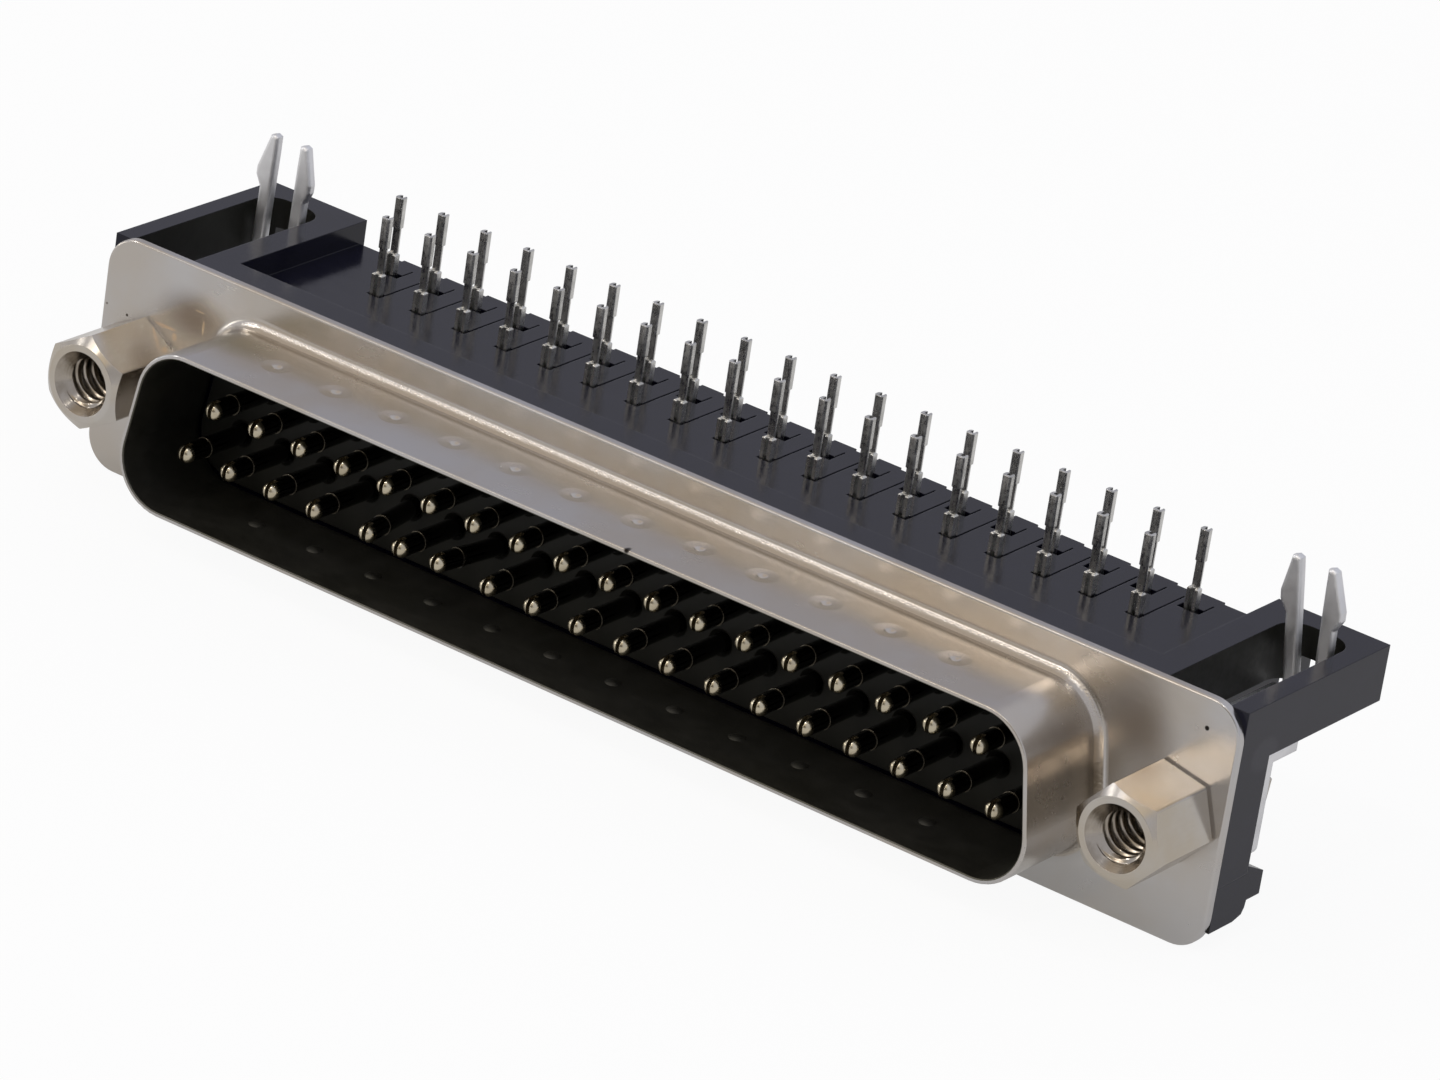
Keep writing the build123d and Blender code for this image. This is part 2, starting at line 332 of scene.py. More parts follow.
# Painted shade: the pin's ring is darkened like the shank
SHADED_PIN_RING = Metal(
    name="rolled_pin_ring_with_painted_shade",
    colour="#5d584d",
    tint="#4c463c",
    tint_size=0.5,
    roughness=0.24,
    spread=0.05,
    grain=(0.2, 0.2, 0.2),
    grain_depth=0.001,
    edge=0.04,
)
HOUSING_PLASTIC = Plastic(
    name="glossy_black_glass_filled_polyester",
    colour="#0c0c1c",
    dust="#141425",
    roughness=0.17,
    spread=0.05,
    index=1.36,
    grain=0.35,
    grain_depth=0.0010,
    edge=0.07,
)
INSULATOR_PLASTIC = Plastic(
    name="matt_black_glass_filled_polyester",
    colour="#1e1e1a",
    dust="#262620",
    roughness=0.45,
    spread=0.06,
    index=1.34,
    grain=0.3,
    grain_depth=0.002,
    edge=0.06,
)


class Graph:
    """A small wrapper that adds nodes to one tree."""

    def __init__(self, tree: bpy.types.NodeTree) -> None:
        """Takes a node tree and empties it.

        Args:
            tree: The tree to fill.
        """
        self.tree = tree
        tree.nodes.clear()

    def node(self, kind: str, inputs: dict | None = None, **settings) -> bpy.types.Node:
        """Adds one node, sets its options, then sets or links its inputs.

        Args:
            kind: Node type without the ShaderNode prefix.
            inputs: Socket name or number to a value or to another node's output.
            **settings: Options of the node itself.

        Returns:
            The new node.
        """
        made = self.tree.nodes.new("ShaderNode" + kind)
        for name, value in settings.items():
            setattr(made, name, value)
        for name, value in (inputs or {}).items():
            if isinstance(value, bpy.types.NodeSocket):
                self.tree.links.new(value, made.inputs[name])
            else:
                made.inputs[name].default_value = value
        return made

    def math(self, operation: str, first, second=0.0, clamp: bool = False) -> bpy.types.NodeSocket:
        """Adds a Math node.

        Args:
            operation: What the node works out.
            first: Its first value or socket.
            second: Its second value or socket.
            clamp: Whether the result is kept between 0 and 1.

        Returns:
            The result.
        """
        made = self.node("Math", {0: first, 1: second}, operation=operation, use_clamp=clamp)
        return made.outputs[0]

    def millimetres(self) -> bpy.types.NodeSocket:
        """Reads the object's own coordinates.

        Returns:
            The coordinates in millimetres.
        """
        place = self.node("TexCoord").outputs["Object"]
        return self.node("VectorMath", {0: place, 3: 1 / MM}, operation="SCALE").outputs[0]

    def noise(self, place, size: Sequence[float], detail: float = 3.0) -> bpy.types.NodeSocket:
        """Adds a noise whose features have a real size.

        Args:
            place: Coordinates in millimetres.
            size: Size of the features along each axis, in millimetres.
            detail: How many finer layers the noise has.

        Returns:
            The noise, about 0.3 to 0.7.
        """
        frequency = tuple(1.0 / s for s in size)
        spread = self.node("VectorMath", {0: place, 1: frequency}, operation="MULTIPLY").outputs[0]
        inputs = {"Vector": spread, "Scale": 1.0, "Detail": detail, "Roughness": 0.55}
        return self.node("TexNoise", inputs).outputs["Fac"]

    def weigh(self, first, second, share: float) -> bpy.types.NodeSocket:
        """Adds two values by weight.

        Args:
            first: The value that counts for the share.
            second: The value that counts for the rest.
            share: Weight of the first value.

        Returns:
            The weighted sum.
        """
        parts = [self.math("MULTIPLY", first, share), self.math("MULTIPLY", second, 1 - share)]
        return self.math("ADD", *parts)

    def ramp(
        self, value, low: float, high: float, start: float = 0.0, end: float = 1.0
    ) -> bpy.types.NodeSocket:
        """Maps a value smoothly from one range to another.

        Args:
            value: The value or socket.
            low: Where the first range starts.
            high: Where the first range ends.
            start: Result at low.
            end: Result at high.

        Returns:
            The mapped value.
        """
        names = {"Value": value, "From Min": low, "From Max": high, "To Min": start, "To Max": end}
        return self.node("MapRange", names, interpolation_type="SMOOTHSTEP").outputs["Result"]

    def blend(self, factor, first, second) -> bpy.types.NodeSocket:
        """Mixes two colours.

        Args:
            factor: Share of the second colour.
            first: First colour or socket.
            second: Second colour or socket.

        Returns:
            The mixed colour.
        """
        made = self.node("Mix", {"Factor": factor}, data_type="RGBA")
        for index, value in ((6, first), (7, second)):
            if isinstance(value, bpy.types.NodeSocket):
                self.tree.links.new(value, made.inputs[index])
            else:
                made.inputs[index].default_value = value
        return made.outputs[2]

    def spot(self, place, mark: Mark) -> bpy.types.NodeSocket:
        """Draws a mark with a soft edge.

        Args:
            place: Coordinates in millimetres.
            mark: The mark.

        Returns:
            The mark's strength inside it and 0 outside it.
        """
        away = self.node("VectorMath", {0: place, 1: mark.centre}, operation="SUBTRACT").outputs[0]
        shrink = tuple(1 / r for r in mark.radius)
        scaled = self.node("VectorMath", {0: away, 1: shrink}, operation="MULTIPLY").outputs[0]
        length = self.node("VectorMath", {0: scaled}, operation="LENGTH").outputs["Value"]
        return self.ramp(length, mark.core, MARK_END, mark.strength, 0.0)


@dataclass
class MaterialShop:
    """Makes each procedural material once.

    Patterns are in the object's own coordinates and in real millimetres.

    Attributes:
        made: The materials made so far, by name.
        tint_from: Noise values between which a metal's tint grows.
        tint_share: Largest share of the tint.
        smear: Size of the dull smears in parts of the tint's patches.
        grain_share: Share of the fine grain in a metal's roughness.
        haze: Size of the dusty patches on a plastic along X, Y and Z.
        haze_from: Noise values between which the dust grows.
        haze_share: Largest share of the dust.
        flow: Size of the flow marks on a plastic along X, Y and Z.
        skin_share: Share of the moulded texture in a plastic's roughness.
        white_share: How much of the floor's own white the camera sees.
        mirror_share: How much of the floor's plain tone shows in reflections.
    """

    made: dict[str, bpy.types.Material] = field(default_factory=dict)
    tint_from: tuple[float, float] = (0.38, 0.66)
    tint_share: float = 0.6
    smear: float = 0.35
    grain_share: float = 0.5
    haze: tuple[float, float, float] = (5.0, 4.0, 3.0)
    haze_from: tuple[float, float] = (0.42, 0.75)
    haze_share: float = 0.5
    flow: tuple[float, float, float] = (2.5, 1.0, 1.0)
    skin_share: float = 0.4
    white_share: float = 0.93
    mirror_share: float = 0.5

    def metal(
        self, finish: Metal, marks: Sequence[Mark] = (), root: RootReflectionAndChatter | None = None
    ) -> bpy.types.Material:
        """Makes a metal from its finish.

        Args:
            finish: The metal's values.
            marks: Specks, scuffs, patches and painted reflections on it.
            root: The painted warm reflection and the rough band along the shroud's root, on the shell
                alone.

        Returns:
            The material.
        """
        if finish.name in self.made:
            return self.made[finish.name]
        material = bpy.data.materials.new(finish.name)
        material.use_nodes = True
        graph = Graph(material.node_tree)
        place = graph.millimetres()
        patch = graph.noise(place, (finish.tint_size,) * 3, 4.0)
        warm = graph.ramp(patch, *self.tint_from, 0.0, self.tint_share)
        # On the shell, a painted warm reflection of the flange joins the tint towards the shroud's root
        if root:
            faint = graph.math("MULTIPLY", warm, root.faint)
            warm = graph.math("MAXIMUM", faint, self.painted_root_reflection(graph, place, patch, root))
        colour = graph.blend(warm, linear(finish.colour), linear(finish.tint))
        for mark in marks:
            colour = graph.blend(graph.spot(place, mark), colour, linear(mark.colour))
        grain = graph.noise(place, finish.grain, 5.0)
        smear = graph.noise(place, (finish.tint_size * self.smear,) * 3, 2.0)
        rough = self.roughness(graph, graph.weigh(grain, smear, self.grain_share), finish)
        height = grain
        if root:
            height = graph.math("ADD", grain, self.chatter(graph, place, root))
        inputs = {
            "Base Color": colour,
            "Metallic": 1.0,
            "Roughness": rough,
            "Coat Weight": finish.coat,
            "Coat Roughness": 0.08,
            "Normal": self.relief(graph, height, finish),
        }
        shader = graph.node("BsdfPrincipled", inputs)
        graph.node("OutputMaterial", {"Surface": shader.outputs["BSDF"]})
        self.made[finish.name] = material
        return material

    @staticmethod
    def roughness(graph: Graph, noise, finish: Metal | Plastic) -> bpy.types.NodeSocket:
        """Varies a finish's roughness with a noise.

        Args:
            graph: The material's graph.
            noise: The noise.
            finish: The metal's or plastic's values.

        Returns:
            The roughness.
        """
        low, high = finish.roughness - finish.spread, finish.roughness + finish.spread
        return graph.ramp(noise, NOISE_LOW, NOISE_HIGH, low, high)

    @staticmethod
    def relief(graph: Graph, height, finish: Metal | Plastic) -> bpy.types.NodeSocket:
        """Turns a height into shading, on edges that look rounded.

        Args:
            graph: The material's graph.
            height: Height in parts of the grain's depth.
            finish: The metal's or plastic's values.

        Returns:
            The normal.
        """
        edge = graph.node("Bevel", {"Radius": finish.edge * MM}, samples=4).outputs["Normal"]
        inputs = {
            "Height": height,
            "Normal": edge,
            "Strength": 1.0,
            "Distance": finish.grain_depth * MM,
        }
        return graph.node("Bump", inputs).outputs["Normal"]

    @staticmethod
    def painted_root_reflection(graph: Graph, place, patch, root: RootReflectionAndChatter) -> bpy.types.NodeSocket:
        """Works out the painted warm reflection: near the shroud's root the plating is painted warmer
        than at its rim, as the flange's reflection.

        Args:
            graph: The material's graph.
            place: Coordinates in millimetres.
            patch: A slow noise, which frays the change.
            root: The painted reflection's values along the root.

        Returns:
            Share of the painted warm reflection.
        """
        depth = graph.node("SeparateXYZ", {0: place}).outputs["Y"]
        frayed = graph.math("ADD", depth, graph.math("MULTIPLY", patch, root.fray))
        on_shroud = graph.ramp(depth, *root.flange)
        cast = graph.ramp(frayed, *root.cast, 0.0, root.cast_share)
        return graph.math("MULTIPLY", cast, on_shroud)

    @staticmethod
    def chatter(graph: Graph, place, root: RootReflectionAndChatter) -> bpy.types.NodeSocket:
        """Makes the roughened band along the root of the shroud, where the sheet was drawn.

        Args:
            graph: The material's graph.
            place: Coordinates in millimetres.
            root: What drawing left along the root.

        Returns:
            Height, in parts of the grain's depth.
        """
        depth = graph.node("SeparateXYZ", {0: place}).outputs["Y"]
        front, back = graph.ramp(depth, *root.band_front), graph.ramp(depth, *root.band_back)
        near = graph.math("MULTIPLY", front, back, clamp=True)
        marks = graph.noise(place, root.marks, 2.0)
        return graph.math("MULTIPLY", graph.math("MULTIPLY", near, marks), root.height)

    def plastic(self, finish: Plastic, marks: Sequence[Mark] = ()) -> bpy.types.Material:
        """Makes a moulded plastic from its finish.

        Args:
            finish: The plastic's values.
            marks: Lighter patches and specks on it.

        Returns:
            The material.
        """
        if finish.name in self.made:
            return self.made[finish.name]
        material = bpy.data.materials.new(finish.name)
        material.use_nodes = True
        graph = Graph(material.node_tree)
        place = graph.millimetres()
        haze = graph.noise(place, self.haze, 4.0)
        dusty = graph.ramp(haze, *self.haze_from, 0.0, self.haze_share)
        colour = graph.blend(dusty, linear(finish.colour), linear(finish.dust))
        for mark in marks:
            colour = graph.blend(graph.spot(place, mark), colour, linear(mark.colour))
        skin = graph.noise(place, (finish.grain,) * 3, 3.0)
        flow = graph.noise(place, self.flow, 2.0)
        inputs = {
            "Base Color": colour,
            "Roughness": self.roughness(graph, graph.weigh(skin, flow, self.skin_share), finish),
            "IOR": finish.index,
            "Normal": self.relief(graph, skin, finish),
        }
        shader = graph.node("BsdfPrincipled", inputs)
        graph.node("OutputMaterial", {"Surface": shader.outputs["BSDF"]})
        self.made[finish.name] = material
        return material

    def floor(self) -> bpy.types.Material:
        """Makes the plain pale floor, which shows near white and keeps a soft shadow.

        Returns:
            The material.
        """
        material = bpy.data.materials.new("pale_paper_floor")
        material.use_nodes = True
        graph = Graph(material.node_tree)
        path = graph.node("LightPath").outputs
        paper = graph.node("BsdfDiffuse", {"Color": linear("#f8f8f8")})
        white = graph.node("Emission", {"Color": (1, 1, 1, 1), "Strength": 1.0})
        dim = graph.node("Emission", {"Color": linear("#d2d1cf"), "Strength": 1.0})
        seen = graph.math("MAXIMUM", path["Is Camera Ray"], path["Is Transmission Ray"])
        share = graph.math("MULTIPLY", seen, self.white_share)
        shown = graph.node("MixShader", {0: share, 1: paper.outputs[0], 2: white.outputs[0]})
        share = graph.math("MULTIPLY", path["Is Glossy Ray"], self.mirror_share)
        both = graph.node("MixShader", {0: share, 1: shown.outputs[0], 2: dim.outputs[0]})
        graph.node("OutputMaterial", {"Surface": both.outputs[0]})
        return material


@dataclass
class Surface:
    """A tube of points whose last column joins the first.

    Attributes:
        points: Grid of points, rows by columns by 3, in millimetres.
        flip: Whether the faces are turned over.
    """

    points: np.ndarray
    flip: bool = False

    def faces(self, offset: int) -> np.ndarray:
        """Lists the grid's quads.

        Args:
            offset: Number of the grid's first point in the mesh.

        Returns:
            Four corner numbers for each quad.
        """
        rows, columns = self.points.shape[:2]
        i, j = np.meshgrid(np.arange(rows - 1), np.arange(columns), indexing="ij")
        k = (j + 1) % columns
        near, far = i * columns, (i + 1) * columns
        quads = np.stack([near + j, near + k, far + k, far + j], -1).reshape(-1, 4) + offset
        return quads[:, ::-1] if self.flip else quads


def build_mesh(name: str, surfaces: Sequence[Surface], smooth_angle: float) -> bpy.types.Object:
    """Joins grids into one object at the world's origin.

    Args:
        name: Name of the object.
        surfaces: The grids.
        smooth_angle: Edges sharper than this, in degrees, stay sharp.

    Returns:
        The new object.
    """
    points, quads, count = [], [], 0
    for surface in surfaces:
        flat = surface.points.reshape(-1, 3)
        quads.append(surface.faces(count))
        points.append(flat)
        count += len(flat)
    mesh = bpy.data.meshes.new(name)
    mesh.from_pydata((np.concatenate(points) * MM).tolist(), [], np.concatenate(quads).tolist())
    mesh.validate()
    mesh.shade_smooth()
    mesh.set_sharp_from_angle(angle=math.radians(smooth_angle))
    made = bpy.data.objects.new(name, mesh)
    bpy.context.scene.collection.objects.link(made)
    return made


@dataclass
class Jackscrew:
    """Hex standoff with a countersunk mouth and a real thread, in millimetres.

    Attributes:
        name: Name of the CAD node it stands for.
        x: Place of its axis along X.
        turn: Angle of one hex corner, in degrees.
        flats: Width across the flats.
        reach: Length in front of the flange.
        stud_reach: How far the stud goes behind the flange.
        stud: Diameter of the stud.
        face: Radius of the flat ring on the front.
        sink: Radius of the countersink at the face.
        major: Radius over the thread's roots in the wall.
        minor: Radius at the thread's crests.
        pitch: Distance between two turns.
        bore_depth: Depth of the bore from the face.
        bore_point: Length of the drill's cone at the bore's end.
        corner: Rounding of the hex corners.
        slope: Angle of the chamfer and of the countersink to the face, in degrees.
        lip: Width of the edge between the countersink and the flat ring.
        neck_length: Length of the tapered foot at the flange.
        neck_inset: How much narrower the foot is at the flange.
        stud_chamfer: Chamfer at the end of the stud.
        axis_gap: Radius of the closing rows at the axis.
        slot: Name of a material slot; not used.
        steps: Number of columns around the axis.
        rows: Number of rows along the bore.
    """

    name: str
    x: float
    turn: float
    flats: float = 4.50
    reach: float = 4.77
    stud_reach: float = 5.30
    stud: float = 2.70
    face: float = 2.05
    sink: float = 1.70
    major: float = 1.40
    minor: float = 1.12
    pitch: float = 0.635
    bore_depth: float = 4.25
    bore_point: float = 0.3
    corner: float = 0.08
    slope: float = 38.0
    lip: float = 0.05
    neck_length: float = 0.18
    neck_inset: float = 0.17
    stud_chamfer: float = 0.15
    axis_gap: float = 0.01
    slot: str = "nickel_screw"
    steps: int = 288
    rows: int = 190

    def angles(self) -> np.ndarray:
        """Spaces the columns evenly around the axis.

        Returns:
            Their angles in radians.
        """
        return np.arange(self.steps) / self.steps * 2 * math.pi

    def hexagon(self) -> np.ndarray:
        """Works out the hexagon's outline.

        A flat at distance a has the radius a / cos(angle from the flat's middle). Near a corner the
        radius is that of a circle of radius r whose centre is c = (a - r) / cos(30) out:
        c cos(p) + sqrt(r^2 - c^2 sin(p)^2), for an angle p from the corner.

        Returns:
            The radius at each column.
        """
        half = self.flats / 2
        sixth = math.pi / 3
        p = (self.angles() - math.radians(self.turn) + sixth / 2) % sixth - sixth / 2
        flat = half / np.cos(sixth / 2 - np.abs(p))
        centre = (half - self.corner) / math.cos(sixth / 2)
        inside = np.clip(self.corner**2 - (centre * np.sin(p)) ** 2, 0, None)
        round_corner = centre * np.cos(p) + np.sqrt(inside)
        tangent = math.atan2(self.corner / 2, centre + self.corner * math.cos(sixth / 2))
        return np.where(np.abs(p) < tangent, round_corner, flat)

    def ring(self, radius, depth) -> np.ndarray:
        """Makes one closed row of points: x = X + r cos(a), y = depth, z = r sin(a).

        Args:
            radius: Radius, one value or one for each column.
            depth: Place along Y, one value or one for each column.

        Returns:
            The row's points.
        """
        a = self.angles()
        r, y = np.broadcast_to(radius, a.shape), np.broadcast_to(depth, a.shape)
        return np.stack([self.x + r * np.cos(a), y, r * np.sin(a)], -1)

    def outside(self) -> Surface:
        """Face ring, turned chamfer that cuts the flats in curved lines, and the flats.

        The chamfer is a cone from the face radius outwards, so each flat's edge lies at the depth
        (radius - face) tan(slope).

        Returns:
            The grid from the countersink's edge to the end of the stud.
        """
        radius = self.hexagon()
        stud = self.stud / 2
        cut = np.clip(radius - self.face, 0, None) * math.tan(math.radians(self.slope)) - self.reach
        rows = [self.ring(self.sink + self.lip, -self.reach), self.ring(self.face, -self.reach)]
        rows += [self.ring(radius, (1 - t) * cut - self.neck_length * t) for t in (0.0, 0.05, 0.5, 1.0)]
        rows += [self.ring(radius - self.neck_inset, 0.0), self.ring(stud, 0.0)]
        rows += [self.ring(stud, self.stud_reach - self.stud_chamfer)]
        rows += [self.ring(stud - self.stud_chamfer, self.stud_reach)]
        rows += [self.ring(self.axis_gap, self.stud_reach)]
        return Surface(np.array(rows), flip=True)

    def thread(self) -> Surface:
        """Countersink and threaded bore.

        With the phase q = y / pitch - angle / 2 pi, the wave h = (1/2 + cos(2 pi q) / 2)^2.2 gives the
        radius minor + (major - minor) h, with broad crests and narrow roots. The countersink's cone
        has the radius sink - y tan(slope) and cuts it.

        Returns:
            The grid from the countersink's edge to the bore's end.
        """
        a = self.angles()[None, :]
        y = np.linspace(0, self.bore_depth, self.rows)[:, None]
        phase = (y / self.pitch - a / (2 * math.pi)) % 1.0
        wave = (0.5 + 0.5 * np.cos(2 * math.pi * phase)) ** 2.2
        radius = self.minor + (self.major - self.minor) * wave
        cone = self.sink - y * math.tan(math.radians(self.slope))
        radius = np.minimum(np.maximum(radius, cone), self.sink)
        x = self.x + radius * np.cos(a)
        z = radius * np.sin(a)
        grid = np.stack([x, np.broadcast_to(y - self.reach, x.shape), z], -1)
        edge = self.ring(self.sink + self.lip, -self.reach)[None]
        end = self.ring(self.axis_gap, self.bore_depth - self.reach + self.bore_point)[None]
        return Surface(np.concatenate([edge, grid, end]))

    def build(self, shop: MaterialShop) -> bpy.types.Object:
        """Makes the piece, which stands for its CAD node.

        Args:
            shop: Where its metal comes from.

        Returns:
            The new object.
        """
        made = build_mesh(self.name + "_turned", [self.outside(), self.thread()], SMOOTH_ANGLE)
        give(made, [shop.metal(SCREW_NICKEL), shop.metal(SCREW_BORE)])
        centre, _ = polygon_places(made)
        away = np.hypot(centre[:, 0] - self.x, centre[:, 2])
        inside = (centre[:, 1] > self.axis_gap - self.reach) & (centre[:, 1] < 0)
        choose(made, (away < self.sink) & inside)
        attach(made, "root")
        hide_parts(self.name)
        return made


@dataclass
class Shell:
    """The drawn steel shell with its small marks. Lengths are in millimetres.

    Attributes:
        node: Name of its CAD node.
        core: Half the width and height of a box within the mouth, which every wall surrounds.
        mouth: Half the width and height of the space that the inner walls lie in.
        inward: Share of the normal that points to the core on an inner wall.
        root: The painted warm reflection and the rough band of drawing along the shroud's root.
        marks: Pits and scuffs, a darker greenish patch on the shroud's top, and painted reflections of
            the jackscrews' hexes on the flange beside them.
    """

    node: str = "front_shell"
    core: tuple[float, float] = (25.0, 1.7)
    mouth: tuple[float, float] = (28.6, 5.4)
    inward: float = 0.2
    root: RootReflectionAndChatter = RootReflectionAndChatter()
    marks: tuple[Mark, ...] = (
        Mark((32.84, 0.0, 4.73), (0.13, 0.3, 0.13), "#2b2724"),
        Mark((-33.03, 0.0, 2.18), (0.08, 0.3, 0.08), "#4a4038"),
        Mark((3.3, -6.0, 4.40), (0.19, 0.4, 0.30), "#241f1b", 1.0, 0.5),
        Mark((-34.4, 0.0, 2.36), (0.07, 0.3, 0.07), "#6a6058", 0.8),
        # painted reflection of the left jackscrew's hex on the flange
        Mark((-28.9, 0.0, 3.5), (2.4, 0.4, 1.6), "#6f5f50", 0.6, 0.1),
        Mark((-28.43, 0.0, 3.98), (0.35, 0.3, 0.06), "#d8ccb8", 0.7),
        Mark((-28.1, 0.0, 3.2), (0.09, 0.3, 0.42), "#e2d6c0", 0.7),
        Mark((-30.5, 0.0, 2.45), (0.75, 0.3, 0.09), "#e0cbb4", 0.7),
        Mark((-29.85, 0.0, 2.1), (0.16, 0.3, 0.22), "#dccab4", 0.8),
        # a darker greenish patch on the shroud's top
        Mark((-24.2, -2.2, 4.45), (3.0, 1.9, 0.9), "#8e8a72", 0.5, 0.1),
        # painted dark reflection on the flange beside the right jackscrew
        Mark((29.3, 0.0, 3.4), (2.3, 0.4, 2.2), "#77685a", 0.55, 0.1),
    )

    def dress(self, frame: dict, shop: MaterialShop) -> None:
        """Gives the shell its plating, with painted shade on the walls inside the mouth.

        Args:
            frame: The loaded frame.
            shop: Where its metal comes from.
        """
        node = frame["nodes"][self.node]
        give(node, [shop.metal(SHELL_STEEL, self.marks, self.root), shop.metal(SHADED_INNER_STEEL)])
        centre, normal = polygon_places(node)
        core = np.array(self.core)
        flat, facing = centre[:, [0, 2]], normal[:, [0, 2]]
        outward = flat - np.clip(flat, -core, core)
        inner = (outward * facing).sum(1) < -self.inward * np.linalg.norm(outward, axis=1)
        near = (np.abs(flat) < np.array(self.mouth)).all(1)
        # painted shade on the walls inside the mouth
        choose(node, inner & near)


@dataclass
class Mouldings:
    """The two black mouldings. Lengths are in millimetres.

    Attributes:
        housing: Name of the rear moulding's CAD node.
        insulator: Name of the front moulding's CAD node.
        slot_x: Distance of each arm's slot from the middle.
        slot_half: Half the width in which a slot's walls lie.
        slot_back: Depth at which the slot's walls end.
        slot_top: Height at which the slot's walls end, just under the arm's top.
        mouth_floor: Depth at which the part of the insulator in the shroud ends.
        foot_top: Height of the foot bar's top.
        pale_marks: A lighter oval on the right end and a light speck in the recess.
    """

    housing: str = "rear_housing"
    insulator: str = "front_insulator"
    slot_x: float = 31.75
    slot_half: float = 1.87
    slot_back: float = 11.6
    slot_top: float = 6.03
    mouth_floor: float = 0.9
    foot_top: float = -4.45
    pale_marks: tuple[Mark, ...] = (
        Mark((34.66, 2.6, 3.3), (0.4, 1.2, 0.9), "#2e2e36", 0.6),
        Mark((-24.6, 4.9, 4.8), (0.07, 0.07, 0.2), "#c8c8c8"),
    )

    def dress(self, frame: dict, shop: MaterialShop) -> None:
        """Gives the mouldings their plastics, the matt one also on the arms' slot walls as painted
        shade.

        Args:
            frame: The loaded frame.
            shop: Where the plastics come from.
        """
        glossy, matt = shop.plastic(HOUSING_PLASTIC, self.pale_marks), shop.plastic(INSULATOR_PLASTIC)
        node = frame["nodes"][self.insulator]
        give(node, [glossy, matt])
        centre, _ = polygon_places(node)
        choose(node, (centre[:, 1] < self.mouth_floor) & (centre[:, 2] > self.foot_top))
        node = frame["nodes"][self.housing]
        give(node, [glossy, matt])
        centre, _ = polygon_places(node)
        # painted shade: the arms' slot walls take the duller matt plastic so that they read darker
        beside = np.abs(np.abs(centre[:, 0]) - self.slot_x) < self.slot_half
        choose(node, beside & (centre[:, 1] < self.slot_back) & (centre[:, 2] < self.slot_top))


@dataclass
class Contacts:
    """Every contact: pale gold at the tip, painted shade on the shank and ring in the mouth, tin on the
    part behind the insulator.

    Attributes:
        prefix: Start of the contacts' node names.
        tip_end: Depth where the bright tip ends, in millimetres.
        plating_end: Depth where the shank with painted shade ends, in millimetres.
        ring: Depths between which the pin's ring lies, in millimetres.
        fold_half: Half the width of the slot in the folded tail, whose walls get painted shade, in
            millimetres.
        fold_bottom: Height where the fold starts, in millimetres.
        facing: Share of the normal along an axis on the walls of the fold's slot.
    """

    prefix: str = "contact_"
    tip_end: float = -4.1
    plating_end: float = 1.5
    ring: tuple[float, float] = (-3.02, -2.81)
    fold_half: float = 0.102
    fold_bottom: float = 7.3
    facing: float = 0.9

    def dress(self, frame: dict, shop: MaterialShop) -> None:
        """Gives each contact its platings.

        Args:
            frame: The loaded frame.
            shop: Where the platings come from.
        """
        finishes = {
            Zone.TIP: PIN_TIP,
            Zone.SHANK: SHADED_PIN_SHANK,
            Zone.TAIL: TAIL_TIN,
            Zone.FOLD: SHADED_FOLD_TIN,
            Zone.RING: SHADED_PIN_RING,
        }
        platings = [shop.metal(finishes[zone]) for zone in Zone]
        for name, node in frame["nodes"].items():
            if not name.startswith(self.prefix):
                continue
            give(node, platings)
            centre, normal = polygon_places(node)
            high = centre[:, 2] > self.fold_bottom
            middle = (centre[high, 0].min() + centre[high, 0].max()) / 2
            # the walls of the fold's slot get the dark tin as painted shade
            inside = high & (np.abs(centre[:, 0] - middle) < self.fold_half)
            inside &= (np.abs(normal[:, 0]) > self.facing) | (normal[:, 1] > self.facing)
            ring = (centre[:, 1] > self.ring[0]) & (centre[:, 1] < self.ring[1])
            tests = {
                Zone.FOLD: inside,
                Zone.RING: ring,
                Zone.TAIL: centre[:, 1] > self.plating_end,
                Zone.SHANK: centre[:, 1] > self.tip_end,
            }
            choose(node, np.select(list(tests.values()), [zone.value for zone in tests], Zone.TIP.value))


@dataclass
class Fasteners:
    """Board locks, nuts and jackscrews at the two ends.

    Attributes:
        screw_x: Distance of each screw from the middle, in millimetres.
        turns: Angle of one hex corner of each jackscrew, in degrees.
    """

    screw_x: float = 31.75
    turns: dict[str, float] = field(default_factory=lambda: {"left": 29.0, "right": 48.5})

    def dress(self, frame: dict, shop: MaterialShop) -> None:
        """Dresses the locks and nuts and builds the jackscrews.

        Args:
            frame: The loaded frame.
            shop: Where the metals come from.
        """
        for side, sign in (("left", -1), ("right", 1)):
            give(frame["nodes"]["board_lock_" + side], [shop.metal(LOCK_TIN)])
            give(frame["nodes"]["lock_nut_" + side], [shop.metal(SCREW_NICKEL)])
            Jackscrew("jackscrew_" + side, sign * self.screw_x, self.turns[side]).build(shop)


def give(node: bpy.types.Object, materials: Sequence[bpy.types.Material]) -> None:
    """Replaces a node's materials.

    Args:
        node: The CAD node or new piece.
        materials: Its materials, in the order of their numbers.
    """
    node.data.materials.clear()
    for material in materials:
        node.data.materials.append(material)


def polygon_places(node: bpy.types.Object) -> tuple[np.ndarray, np.ndarray]:
    """Reads where a node's polygons lie.

    Args:
        node: The CAD node or new piece.

    Returns:
        Their centres, in millimetres, and their normals.
    """
    mesh = node.data
    centre = np.empty(len(mesh.polygons) * 3, np.float32)
    normal = np.empty(len(mesh.polygons) * 3, np.float32)
    mesh.polygons.foreach_get("center", centre)
    mesh.polygons.foreach_get("normal", normal)
    return centre.reshape(-1, 3) / MM, normal.reshape(-1, 3)


